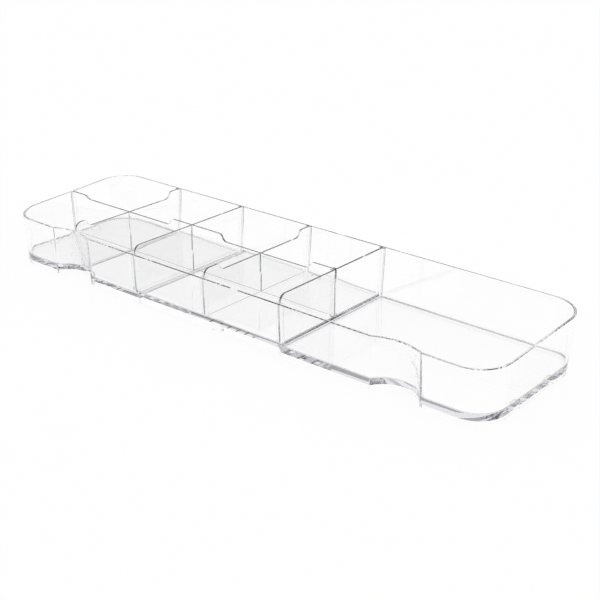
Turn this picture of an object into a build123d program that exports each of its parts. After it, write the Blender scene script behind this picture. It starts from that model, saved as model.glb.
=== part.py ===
"""Clear divided caddy tray: one drafted moulding with thumb scoops, and lift-out divider panels.

Millimetres. X runs along the length towards the large compartment, Y towards the high back wall, Z up.
The origin is under the middle of the tray, on the surface it stands on.
"""
import math
import os

from build123d import *

# tray
tray_length = 400.0        # over the rim
tray_depth = 111.4         # over the rim, front to back
back_height = 40.6         # rim of the back wall
front_drop = 5.2           # how much lower the front rim is; the end rims slope between the two
wall_thickness = 1.8
wall_draft = 3.2           # degrees that the walls lean outward going up
corner_radius = 22.0       # outside corner, at the rim
skirt_height = 2.5         # the wall goes on below the end floors as a foot skirt
end_thickness = 4.0        # floor of the end compartments
cell_thickness = 2.4       # floor of the cells
cell_rise = 1.5            # the four right-hand cells have a floor that lies higher
ramp_angle = 60.0          # of the steps in the floor, above and below
cove_radius = 1.6          # floor to wall, inside
rim_round = 0.6            # inner edge of the rim
rim_bevel = 0.7            # outer edge, on the top
rim_bevel_drop = 0.4       # outer edge, down the face

# thumb scoops in the front wall
scoop_from_end = 63.6      # centre of each scoop, from the end of the tray
scoop_width = 34.5
scoop_depth_top = 4.0      # at the front rim
scoop_depth_foot = 11.8    # at the foot
scoop_round = 1.5          # corner between a scoop and the front face

# dividers
cell_pitch = 62.6          # small compartments, counted from the left end of the tray
lengthwise_y = 2.0         # the lengthwise panel stands a little behind the middle
divider_thickness = 1.6
edge_bevel = 0.3
dip_drop = 4.9             # low parts of the top edges, below the high ones
dip_margin = 15.7          # cross divider: rim of the tray to the middle of the step into the dip
step_run = 7.0             # length of the S-shaped step between high and low
fall_after_wall = 18.5     # lengthwise panel: first step down, from the left end of the tray
rise_before_crossing = 20.5
fall_after_crossing = 29.0

# guides and clearances
rib_width = 1.3
rib_depth = 2.2
side_clearance = 0.15      # each side of a panel in a slot
end_clearance = 0.3        # panel end to wall
lap_gap = 0.4              # height between the two halves of a crossing

# small foot blocks behind the skirt
block_width = 6.6
block_depth = 3.5
side_block_x = -2.4        # the block under the long sides
end_block_offset = 20.0    # from the middle of the end wall

front_height = back_height - front_drop
dip_height = back_height - dip_drop
dip_half = tray_depth / 2 - dip_margin
scoop_from_middle = tray_length / 2 - scoop_from_end
low_floor = skirt_height + end_thickness
high_floor = low_floor + cell_rise
lean = math.tan(math.radians(wall_draft))
plan_y = -lean * (back_height - front_height) / 2
cross_x = [-tray_length / 2 + cell_pitch * n for n in (1, 2, 3, 4)]
lap_height = (high_floor + dip_height) / 2
slot_half = divider_thickness / 2 + side_clearance
rib_offset = slot_half + rib_width / 2
rib_reach = slot_half + rib_width
steepness = math.tan(math.radians(ramp_angle))
upright = (Align.CENTER, Align.CENTER, Align.MIN)

# the floor, left to right: (x, z) where each ramp starts and ends, on top and underneath
rise_start = cross_x[1] + rib_reach
rise_end = rise_start + cell_rise / steepness
fall_start = cross_x[3] + slot_half
fall_end = fall_start + cell_rise / steepness
floor_ramps = [
    ((rise_start, low_floor), (rise_end, high_floor)),
    ((fall_start, high_floor), (fall_end, low_floor)),
]
low_under = low_floor - cell_thickness
high_under = high_floor - cell_thickness
under_shift = cell_thickness * math.tan(math.radians(ramp_angle / 2))
under_ramps = [
    ((cross_x[0] - (low_under - skirt_height) / steepness, skirt_height), (cross_x[0], low_under)),
    ((rise_start + under_shift, low_under), (rise_end + under_shift, high_under)),
    ((fall_start - under_shift, high_under),
     (fall_start - under_shift + (high_under - skirt_height) / steepness, skirt_height)),
]


def inset(z):
    """How far the outer face stands inside the rim outline at height z."""
    return lean * (back_height - z)


def front_face(z):
    return plan_y - tray_depth / 2 + inset(z)


def back_face(z):
    return plan_y + tray_depth / 2 - inset(z)


def end_face(z):
    """Outer face of the right end; the left one is its mirror image."""
    return tray_length / 2 - inset(z)


def rim_height(y):
    share = (y - front_face(front_height)) / (back_face(back_height) - front_face(front_height))
    return front_height + (back_height - front_height) * share


def floor_at(x):
    """Top of the floor at x."""
    level = low_floor
    for (start, low), (end, high) in floor_ramps:
        if x >= end:
            level = high
        elif x > start:
            level = low + (high - low) * (x - start) / (end - start)
    return level


def scoop_depth(z):
    return scoop_depth_foot + (scoop_depth_top - scoop_depth_foot) * z / front_height


def scoop_half(z, extra):
    """Half the scoop's opening, measured on the line that lies extra behind the front face."""
    return math.sqrt((scoop_width / 2) ** 2 + 2 * extra * scoop_depth(z))


def front_inside(x, z):
    """Inner face of the front wall, round the scoops too."""
    depth = scoop_depth(z)
    half = scoop_half(z, wall_thickness)
    radius = (half ** 2 + depth ** 2) / (2 * depth)
    off = abs(abs(x) - scoop_from_middle)
    straight = front_face(z) + wall_thickness
    if off >= half:
        return straight
    return straight + depth - radius + math.sqrt(radius ** 2 - off ** 2)


def front_line(x, half, gap, foot, top):
    """Straight (y, z) line, foot to top, that stands gap inside the front wall over a strip about x."""
    heights = [foot + (top - foot) * step / 4 for step in range(5)]
    inside = [max(front_inside(x + half * share, z) for share in (-1, -0.5, 0, 0.5, 1)) for z in heights]
    slope = (inside[-1] - inside[0]) / (top - foot)
    start = max(y - slope * (z - foot) for y, z in zip(inside, heights)) + gap
    return [(start, foot), (start + slope * (top - foot), top)]


def back_line(gap, foot, top):
    return [(back_face(z) - wall_thickness - gap, z) for z in (foot, top)]


def plan_outline(z, extra):
    """Rounded rectangle of the tray at height z, extra further in than the outer face."""
    inward = inset(z) + extra
    shape = RectangleRounded(tray_length - 2 * inward, tray_depth - 2 * inward, corner_radius - inward)
    return Pos(0, plan_y, z) * shape


def scoop_solid(side, extra):
    """The hollow of one thumb scoop, or with extra, the hollow and the wall round it."""
    middle = side * scoop_from_middle
    highest = rim_height(front_face(front_height) + scoop_depth_foot) + 1.0
    sections = []
    for z in (-1.0, highest):
        half = scoop_half(z, extra)
        line = front_face(z) + extra
        left = (middle - half, line)
        right = (middle + half, line)
        left_out = (middle - half, line - extra - 6.0)
        right_out = (middle + half, line - extra - 6.0)
        outline = [
            ThreePointArc(left, (middle, line + scoop_depth(z)), right),
            Polyline(right, right_out, left_out, left),
        ]
        sections.append(Pos(0, 0, z) * make_face(outline))
    return loft(sections, ruled=True)


def slab_across(points, x, thickness):
    """A closed (y, z) outline made thickness wide along X, centred on x."""
    face = make_face(Polyline(*[(x - thickness / 2, y, z) for y, z in points], close=True))
    return extrude(face, thickness, dir=(1, 0, 0))


def slab_along(points):
    """A closed (x, z) outline carried through the whole depth of the tray."""
    face = make_face(Polyline(*[(x, -tray_depth, z) for x, z in points], close=True))
    return extrude(face, 2 * tray_depth, dir=(0, 1, 0))


def step_arcs(start, end):
    """S-shaped step between two heights: two equal arcs, level at both ends."""
    run = end[0] - start[0]
    rise = end[1] - start[1]
    half_turn = math.atan2(abs(rise), abs(run))
    radius = (run ** 2 + rise ** 2) / (4 * abs(rise))
    across = math.copysign(radius * math.sin(half_turn), run)
    up = math.copysign(radius * (1 - math.cos(half_turn)), rise)
    middle = ((start[0] + end[0]) / 2, (start[1] + end[1]) / 2)
    first = ThreePointArc(start, (start[0] + across, start[1] + up), middle)
    second = ThreePointArc(middle, (end[0] - across, end[1] - up), end)
    return [first, second]


def make_cavity():
    """The hollow above the floor, coved at the foot of the walls, with a ramp at each end of the rise."""
    top = 3 * back_height
    hollows = []
    for level in (low_floor, high_floor):
        hollow = extrude(plan_outline(level, wall_thickness), back_height, taper=-wall_draft)
        hollows.append(fillet(hollow.edges().group_by(Axis.Z)[0], cove_radius))
    middle = slab_along([(rise_end, 0), (fall_start, 0), (fall_start, top), (rise_end, top)])
    cavity = (hollows[0] - middle) + (hollows[1] & middle)
    cavity = cavity - slab_along([(rise_start, low_floor), (rise_end, high_floor), (rise_end, low_floor)])
    return cavity - slab_along([(fall_start, high_floor), (fall_end, low_floor), (fall_start, low_floor)])


def make_recess():
    """The hollow under the floor."""
    line = [point for ramp in under_ramps for point in ramp]
    right = [(tray_length, skirt_height), (tray_length, -1.0)]
    left = [(-tray_length, -1.0), (-tray_length, skirt_height)]
    inside = extrude(plan_outline(0, wall_thickness), high_floor, taper=-wall_draft)
    return inside & slab_along(line + right + left)


def foot_of_scoop(edge):
    """Whether an edge of the hollow lies where the wall round a thumb scoop meets the floor."""
    spot = edge.position_at(0.5)
    near = abs(abs(spot.X) - scoop_from_middle) < scoop_half(0, wall_thickness)
    return near and spot.Z < low_floor + 0.01 and front_face(0) + 2 * wall_thickness < spot.Y < 0


def corner_of_scoop(edge):
    """Whether an edge of the shell stands where a thumb scoop meets the front face."""
    spot = edge.position_at(0.5)
    beside = abs(abs(abs(spot.X) - scoop_from_middle) - scoop_width / 2) < 0.1
    return beside and abs(spot.Y - front_face(spot.Z)) < 0.1 and 0 < spot.Z < back_height


def rim_of(tray):
    """The sloping top face of the wall."""
    rims = [face for face in tray.faces() if all(abs(v.Z - rim_height(v.Y)) < 0.01 for v in face.vertices())]
    return rims[0]


def make_tray():
    outer = extrude(plan_outline(0, 0), back_height, taper=-wall_draft)
    cavity = make_cavity()
    under = make_recess()
    walls = [scoop_solid(side, wall_thickness) for side in (-1, 1)]
    hollows = [scoop_solid(side, 0) for side in (-1, 1)]
    cavity = cavity - walls
    cavity = fillet([edge for edge in cavity.edges() if foot_of_scoop(edge)], cove_radius)
    under = under - walls
    shell = outer - hollows
    shell = fillet([edge for edge in shell.edges() if corner_of_scoop(edge)], scoop_round)
    tray = shell - cavity - under

    reach = tray_depth
    slope = [(-reach, rim_height(-reach)), (reach, rim_height(reach))]
    slope += [(reach, 3 * reach), (-reach, 3 * reach)]
    tray = tray - slab_across(slope, 0, 2 * tray_length)
    tray = fillet(rim_of(tray).inner_wires()[0].edges(), rim_round)
    rim = rim_of(tray)
    tray = chamfer(rim.outer_wire().edges(), rim_bevel, rim_bevel_drop, reference=rim)

    ribs = []
    back_top = rim_height(back_face(back_height) - wall_thickness - rib_depth)
    for x in cross_x:
        for side in (-1, 1):
            place = x + side * rib_offset
            foot = min(floor_at(place - rib_width / 2), floor_at(place + rib_width / 2))
            line = back_line(rib_depth, foot, back_top)
            buried = [(y + rib_depth + wall_thickness / 2, z) for y, z in reversed(line)]
            ribs.append(slab_across(line + buried, place, rib_width))
            line = front_line(place, rib_width / 2, rib_depth, foot, front_height)
            buried = [(y - rib_depth - wall_thickness / 2, z) for y, z in reversed(line)]
            ribs.append(slab_across(line + buried, place, rib_width))
    for side in (-1, 1):
        y = lengthwise_y + side * rib_offset
        top = rim_height(y - rib_width / 2)
        line = [(-end_face(z) + wall_thickness + rib_depth, z) for z in (low_floor, top)]
        buried = [(x - rib_depth - wall_thickness / 2, z) for x, z in reversed(line)]
        face = make_face(Polyline(*[(x, y - rib_width / 2, z) for x, z in line + buried], close=True))
        ribs.append(extrude(face, rib_width, dir=(0, 1, 0)))

    deep = block_depth + wall_thickness / 2
    wide = (Align.CENTER, Align.MIN, Align.MIN)
    blocks = []
    front_start = front_face(0) + wall_thickness / 2
    back_start = back_face(0) - wall_thickness / 2 - deep
    end_start = end_face(0) - wall_thickness / 2 - deep / 2
    for start in (front_start, back_start):
        blocks.append(Pos(side_block_x, start, 0) * Box(block_width, deep, high_under, align=wide))
    for end in (-1, 1):
        for side in (-1, 1):
            place = Pos(end * end_start, plan_y + side * end_block_offset, 0)
            blocks.append(place * Box(deep, block_width, skirt_height, align=upright))
    return tray + ribs + blocks


def soften(panel, thickness_axis):
    """Takes the sharpness off the long edges of a panel."""
    across = thickness_axis.direction
    flat = [edge for edge in panel.edges() if abs(edge.bounding_box().size.dot(across)) < 0.01]
    return chamfer(flat, edge_bevel)


def make_cross_divider(x, dipped, guides):
    high = back_height
    foot = floor_at(x)
    front_foot, front_level = front_line(x, slot_half, end_clearance, foot, front_height)
    back_foot, back_top = back_line(end_clearance, foot, high)
    slope = (front_level[0] - front_foot[0]) / (front_height - foot)
    front_top = (front_level[0] + slope * (high - front_height), high)
    if dipped:
        rise = lengthwise_y - dip_half
        drop = lengthwise_y + dip_half
        hump_edge = (rise - step_run / 2, high)
        low_front = (rise + step_run / 2, dip_height)
        low_back = (drop - step_run / 2, dip_height)
        back_edge = (drop + step_run / 2, high)
        outline = [Line(front_top, hump_edge)]
        outline += step_arcs(hump_edge, low_front)
        outline.append(Line(low_front, low_back))
        outline += step_arcs(low_back, back_edge)
        outline.append(Line(back_edge, back_top))
    else:
        outline = [Line(front_top, back_top)]
    outline.append(Polyline(back_top, back_foot, front_foot, front_top))
    face = make_face(outline)
    face = fillet(face.vertices().group_by(Axis.Y)[0], cove_radius + 0.5)
    face = fillet(face.vertices().sort_by_distance(front_top)[0], high - front_height)
    panel = extrude(Plane.YZ * face, divider_thickness, dir=(1, 0, 0))
    panel = soften(Pos(x - divider_thickness / 2, 0, 0) * panel, Axis.X)
    if guides:
        rib_height = back_height - edge_bevel - foot
        for side in (-1, 1):
            place = Pos(x - divider_thickness / 2, lengthwise_y + side * rib_offset, foot)
            rib = Box(rib_depth, rib_width, rib_height, align=(Align.MAX, Align.CENTER, Align.MIN))
            panel = panel + place * rib
    else:
        slot_height = lap_height + lap_gap / 2 - foot
        slot = Box(2 * divider_thickness, 2 * slot_half, slot_height, align=upright)
        panel = panel - Pos(x, lengthwise_y, foot) * slot
    return panel


def make_lengthwise_divider():
    high = back_height
    wall_high = rim_height(lengthwise_y)
    left_top = (-end_face(wall_high) + wall_thickness + end_clearance, wall_high)
    left_foot = (-end_face(low_floor) + wall_thickness + end_clearance, low_floor)
    right = cross_x[3] - divider_thickness / 2 - end_clearance
    steps = [
        (-tray_length / 2 + fall_after_wall, wall_high, dip_height),
        (cross_x[1] - rise_before_crossing, dip_height, high),
        (cross_x[1] + fall_after_crossing, high, dip_height),
        (cross_x[3] - rise_before_crossing, dip_height, high),
    ]
    outline = []
    here = left_top
    for middle, level, next_level in steps:
        start = (middle - step_run / 2, level)
        end = (middle + step_run / 2, next_level)
        outline.append(Line(here, start))
        outline += step_arcs(start, end)
        here = end
    ramp_foot, ramp_head = floor_ramps[0]
    outline.append(Polyline(here, (right, high), (right, high_floor), ramp_head))
    outline.append(Polyline(ramp_head, ramp_foot, left_foot, left_top))
    face = make_face(outline)
    foot = face.vertices().group_by(Axis.Y)[0].sort_by(Axis.X)[0]
    face = fillet(foot, cove_radius + 0.5)
    panel = extrude(Plane.XZ * face, divider_thickness, dir=(0, 1, 0))
    panel = Pos(0, lengthwise_y - divider_thickness / 2, 0) * panel
    panel = soften(panel, Axis.Y)
    for x in cross_x[:3]:
        slot_low = lap_height - lap_gap / 2
        slot = Box(2 * slot_half, 2 * divider_thickness, back_height, align=upright)
        panel = panel - Pos(x, lengthwise_y, slot_low) * slot
    return panel


os.makedirs("parts", exist_ok=True)
export_step(make_tray(), "parts/tray.step")
export_step(make_lengthwise_divider(), "parts/lengthwise_divider.step")
for number, x in enumerate(cross_x, start=1):
    panel = make_cross_divider(x, dipped=number in (1, 3), guides=number == 4)
    export_step(panel, f"parts/cross_divider_{number}.step")
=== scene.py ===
"""Clear divided caddy tray: looks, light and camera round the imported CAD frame. Metres."""

import math

import bpy
from mathutils import Matrix, Vector


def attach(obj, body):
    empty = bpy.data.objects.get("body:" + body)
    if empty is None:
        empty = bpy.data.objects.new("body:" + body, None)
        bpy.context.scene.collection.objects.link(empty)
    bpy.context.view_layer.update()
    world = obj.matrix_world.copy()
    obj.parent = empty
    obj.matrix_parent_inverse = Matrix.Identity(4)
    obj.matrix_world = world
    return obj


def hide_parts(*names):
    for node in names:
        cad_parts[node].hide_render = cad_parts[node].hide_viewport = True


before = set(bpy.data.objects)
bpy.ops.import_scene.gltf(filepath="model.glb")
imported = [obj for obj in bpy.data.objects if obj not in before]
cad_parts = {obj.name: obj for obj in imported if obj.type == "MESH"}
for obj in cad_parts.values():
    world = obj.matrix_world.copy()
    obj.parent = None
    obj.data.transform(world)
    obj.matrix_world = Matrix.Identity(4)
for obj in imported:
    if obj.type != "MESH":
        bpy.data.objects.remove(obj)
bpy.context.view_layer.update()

# camera, from the rim, foot and dividers in the photograph
EYE = Vector((0.4790, -0.5694, 0.3275))
AZIMUTH = math.radians(38.66)
ELEVATION = math.radians(23.38)
ROLL = math.radians(0.88)
LENS = 72.9                     # mm on a 36 mm sensor

# plastic
PLASTIC_IOR = 1.57
EDGE_TINT = (0.70, 0.69, 0.78)
EDGE_DENSITY = 5.0              # darkens long light paths inside the wall
LIGHT_BOUNCES = 64              # enough to run the length of a wall inside the plastic
POLISH = 0.002                  # roughness of the best places
SMUDGE_ROUGHNESS = 0.006
SCRATCH_ROUGHNESS = 0.03
RIPPLE_STRENGTH = 0.012

# steps in the floor, left to right, where the mould was polished less
FLOOR_STEPS = [(-0.1384, -0.1373), (-0.0726, -0.0698), (0.0499, 0.0523)]
STEP_TOP = 0.0081
STEP_DULLNESS = 0.25

# light led along inside the plastic
LED_FROM = 8.5                  # bounces after which light counts as led
LOST_FROM, LOST_BY = 18.0, 30.0     # bounces over which the floor's share of it dies away
LEFT_OVER = 0.1

# floor and room; 1.0 is white
FLOOR_SEEN = 0.94               # the rest of the floor takes light and shadow
FLOOR_THROUGH = 0.97            # looked at through the plastic
FLOOR_MIRRORED = 0.4            # in reflections
FLOOR_LED = 0.9                 # where led light ends
HORIZON, OVERHEAD = 0.12, 1.15
WALL_LOW, WALL_HIGH = 0.42, 0.8     # the wall behind, as led light meets it
FRONT_LED = 0.9                 # the rest of the room, as led light meets it

# sharpest edge that still shades as a round: the tray has modelled rounds, the panels plain bevels
SMOOTH_UP_TO = {"clear_tray": math.radians(24), "clear_panel": math.radians(50)}

BODY_OF = {
    "tray": "tray",
    "lengthwise_divider": "lengthwise",
    "cross_divider_1": "cross_1",
    "cross_divider_2": "cross_2",
    "cross_divider_3": "cross_3",
    "cross_divider_4": "cross_4",
}


class Field:
    """A number that varies over a surface: a node socket that takes part in Python sums."""

    def __init__(self, tree, socket):
        self.tree = tree
        self.socket = socket

    def sum_node(self, operation, first, second):
        node = self.tree.nodes.new("ShaderNodeMath")
        node.operation = operation
        join(self.tree, node.inputs[0], first)
        join(self.tree, node.inputs[1], second)
        return Field(self.tree, node.outputs[0])

    def __add__(self, other):
        return self.sum_node("ADD", self, other)

    def __radd__(self, other):
        return self.sum_node("ADD", other, self)

    def __sub__(self, other):
        return self.sum_node("SUBTRACT", self, other)

    def __rsub__(self, other):
        return self.sum_node("SUBTRACT", other, self)

    def __mul__(self, other):
        return self.sum_node("MULTIPLY", self, other)

    def __rmul__(self, other):
        return self.sum_node("MULTIPLY", other, self)

    def __gt__(self, other):
        return self.sum_node("GREATER_THAN", self, other)


def join(tree, socket, value):
    """Links a field to a socket, or sets a plain value on it."""
    if isinstance(value, Field):
        tree.links.new(value.socket, socket)
    else:
        socket.default_value = value


class Nodes:
    """A node tree, with one method that adds any node to it."""

    def __init__(self, owner):
        owner.use_nodes = True
        self.tree = owner.node_tree

    def add(self, kind, settings, inputs, output=0):
        node = self.tree.nodes.new(kind)
        for key, value in settings.items():
            setattr(node, key, value)
        for key, value in inputs.items():
            join(self.tree, node.inputs[key], value)
        return Field(self.tree, node.outputs[output])

    def ramp(self, value, low, high, start, end):
        return self.add("ShaderNodeMapRange", {"interpolation_type": "SMOOTHSTEP"},
                        {"Value": value, "From Min": low, "From Max": high, "To Min": start, "To Max": end})

    def set(self, node, **inputs):
        for key, value in inputs.items():
            join(self.tree, self.tree.nodes[node].inputs[key.replace("_", " ")], value)


def clear_plastic(name, dull_steps):
    """Water-clear moulding: uneven gloss, duller steps, hairline scratches, slow ripple, tinted edges."""
    plastic = bpy.data.materials.new(name)
    nodes = Nodes(plastic)
    place = nodes.add("ShaderNodeTexCoord", {}, {}, "Object")
    smudge = nodes.add("ShaderNodeTexNoise", {}, {"Vector": place, "Scale": 35.0, "Detail": 3.0})
    along = nodes.add("ShaderNodeMapping", {}, {"Vector": place, "Rotation": (0.2, 0.3, 0.5),
                                                "Scale": (12.0, 900.0, 900.0)})
    across = nodes.add("ShaderNodeMapping", {}, {"Vector": place, "Rotation": (0.3, 0.1, -0.9),
                                                 "Scale": (900.0, 15.0, 900.0)})
    first = nodes.add("ShaderNodeTexNoise", {}, {"Vector": along, "Scale": 1.0, "Detail": 1.0})
    second = nodes.add("ShaderNodeTexNoise", {}, {"Vector": across, "Scale": 1.0, "Detail": 1.0})
    scratch = nodes.ramp(first, 0.68, 0.76, 0.0, 1.0) + nodes.ramp(second, 0.7, 0.78, 0.0, 1.0)
    ripple = nodes.add("ShaderNodeTexNoise", {}, {"Vector": place, "Scale": 22.0, "Detail": 1.0})
    bump = nodes.add("ShaderNodeBump", {}, {"Strength": RIPPLE_STRENGTH, "Distance": 0.001, "Height": ripple})
    along_tray = nodes.add("ShaderNodeSeparateXYZ", {}, {"Vector": place}, "X")
    height = nodes.add("ShaderNodeSeparateXYZ", {}, {"Vector": place}, "Z")
    dull = 0.0
    for start, end in dull_steps:
        dull = dull + (along_tray > start) * (1.0 - (along_tray > end))
    dull = dull * (1.0 - (height > STEP_TOP))
    roughness = POLISH + SMUDGE_ROUGHNESS * smudge + SCRATCH_ROUGHNESS * scratch + STEP_DULLNESS * dull
    nodes.set("Principled BSDF", Base_Color=(1.0, 1.0, 1.0, 1.0), Roughness=roughness, IOR=PLASTIC_IOR,
              Transmission_Weight=1.0, Normal=bump)
    absorb = nodes.add("ShaderNodeVolumeAbsorption", {}, {"Color": (*EDGE_TINT, 1.0), "Density": EDGE_DENSITY})
    nodes.set("Material Output", Volume=absorb)
    return plastic


def dress_nodes():
    """Every moulding gets a merged copy whose small edge bevels shade as rounds."""
    plastics = {
        "clear_tray": clear_plastic("clear_tray", FLOOR_STEPS),
        "clear_panel": clear_plastic("clear_panel", []),
    }
    for name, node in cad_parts.items():
        slot = "clear_tray" if name == "tray" else "clear_panel"
        piece = bpy.data.objects.new(name + "_moulding", node.data.copy())
        bpy.context.scene.collection.objects.link(piece)
        bpy.ops.object.select_all(action="DESELECT")
        piece.select_set(True)
        bpy.context.view_layer.objects.active = piece
        bpy.ops.mesh.customdata_custom_splitnormals_clear()
        bpy.ops.object.mode_set(mode="EDIT")
        bpy.ops.mesh.select_all(action="SELECT")
        bpy.ops.mesh.remove_doubles(threshold=2e-6)
        bpy.ops.mesh.dissolve_limited(angle_limit=math.radians(0.2))
        bpy.ops.object.mode_set(mode="OBJECT")
        bpy.ops.object.shade_smooth_by_angle(angle=SMOOTH_UP_TO[slot])
        soften = piece.modifiers.new("rounded_edges", "WEIGHTED_NORMAL")
        soften.keep_sharp = True
        bpy.ops.object.modifier_apply(modifier=soften.name)
        piece.data.materials.clear()
        piece.data.materials.append(plastics[slot])
        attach(piece, BODY_OF[name])
        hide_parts(name)


def lay_floor():
    """Pale floor: white to the eye and through the plastic, with the tray's soft shadow left on it."""
    bpy.ops.object.select_all(action="DESELECT")
    bpy.ops.mesh.primitive_plane_add(size=12.0, location=(0, 0, 0.00005))
    floor = bpy.context.object
    floor.name = "floor"
    pale = bpy.data.materials.new("pale_floor")
    nodes = Nodes(pale)
    nodes.set("Principled BSDF", Base_Color=(0.92, 0.92, 0.92, 1.0), Roughness=0.9)
    seen = nodes.add("ShaderNodeLightPath", {}, {}, "Is Camera Ray")
    through = nodes.add("ShaderNodeLightPath", {}, {}, "Is Transmission Ray")
    mirrored = nodes.add("ShaderNodeLightPath", {}, {}, "Is Glossy Ray")
    bounces = nodes.add("ShaderNodeLightPath", {}, {}, "Ray Depth")
    led = bounces > LED_FROM
    left = nodes.ramp(bounces, LOST_FROM, LOST_BY, FLOOR_LED, FLOOR_LED * LEFT_OVER)
    plain = FLOOR_SEEN * seen + FLOOR_THROUGH * through + FLOOR_MIRRORED * mirrored
    share = (1.0 - led) * plain + led * left
    lit = Field(nodes.tree, nodes.tree.nodes["Principled BSDF"].outputs[0])
    glow = nodes.add("ShaderNodeEmission", {}, {"Color": (1.0, 1.0, 1.0, 1.0), "Strength": 1.0})
    mixed = nodes.add("ShaderNodeMixShader", {}, {0: share, 1: lit, 2: glow})
    nodes.set("Material Output", Surface=mixed)
    floor.data.materials.append(pale)


def light_scene():
    """Bright overhead and dim at the horizon; light led along the plastic meets a grey wall behind it."""
    scene = bpy.context.scene
    scene.world = bpy.data.worlds.new("soft_room")
    nodes = Nodes(scene.world)
    place = nodes.add("ShaderNodeTexCoord", {}, {}, "Generated")
    height = nodes.add("ShaderNodeSeparateXYZ", {}, {"Vector": place}, "Z")
    depth = nodes.add("ShaderNodeSeparateXYZ", {}, {"Vector": place}, "Y")
    seen = nodes.add("ShaderNodeLightPath", {}, {}, "Is Camera Ray")
    bounces = nodes.add("ShaderNodeLightPath", {}, {}, "Ray Depth")
    led = bounces > LED_FROM
    room = nodes.ramp(height, 0.05, 0.6, HORIZON, OVERHEAD)
    wall = nodes.ramp(height, 0.45, 0.75, WALL_LOW, WALL_HIGH)
    behind = nodes.ramp(depth, -0.3, 0.3, 0.0, 1.0) * nodes.ramp(bounces, LOST_FROM, LOST_BY, 1.0, 0.0)
    far = wall * behind + FRONT_LED * (1.0 - behind)
    near = seen + (1.0 - seen) * room
    nodes.set("Background", Color=(1.0, 1.0, 1.0, 1.0), Strength=(1.0 - led) * near + led * far)
    scene.view_settings.view_transform = "Standard"
    scene.cycles.max_bounces = LIGHT_BOUNCES
    scene.cycles.glossy_bounces = LIGHT_BOUNCES
    scene.cycles.transmission_bounces = LIGHT_BOUNCES


def place_camera():
    camera = bpy.data.objects.new("camera", bpy.data.cameras.new("camera"))
    bpy.context.scene.collection.objects.link(camera)
    camera.data.sensor_width = 36.0
    camera.data.lens = LENS
    turn = Matrix.Rotation(AZIMUTH, 4, "Z") @ Matrix.Rotation(math.pi / 2 - ELEVATION, 4, "X")
    camera.matrix_world = Matrix.Translation(EYE) @ turn @ Matrix.Rotation(ROLL, 4, "Z")
    bpy.context.scene.camera = camera


dress_nodes()
lay_floor()
light_scene()
place_camera()
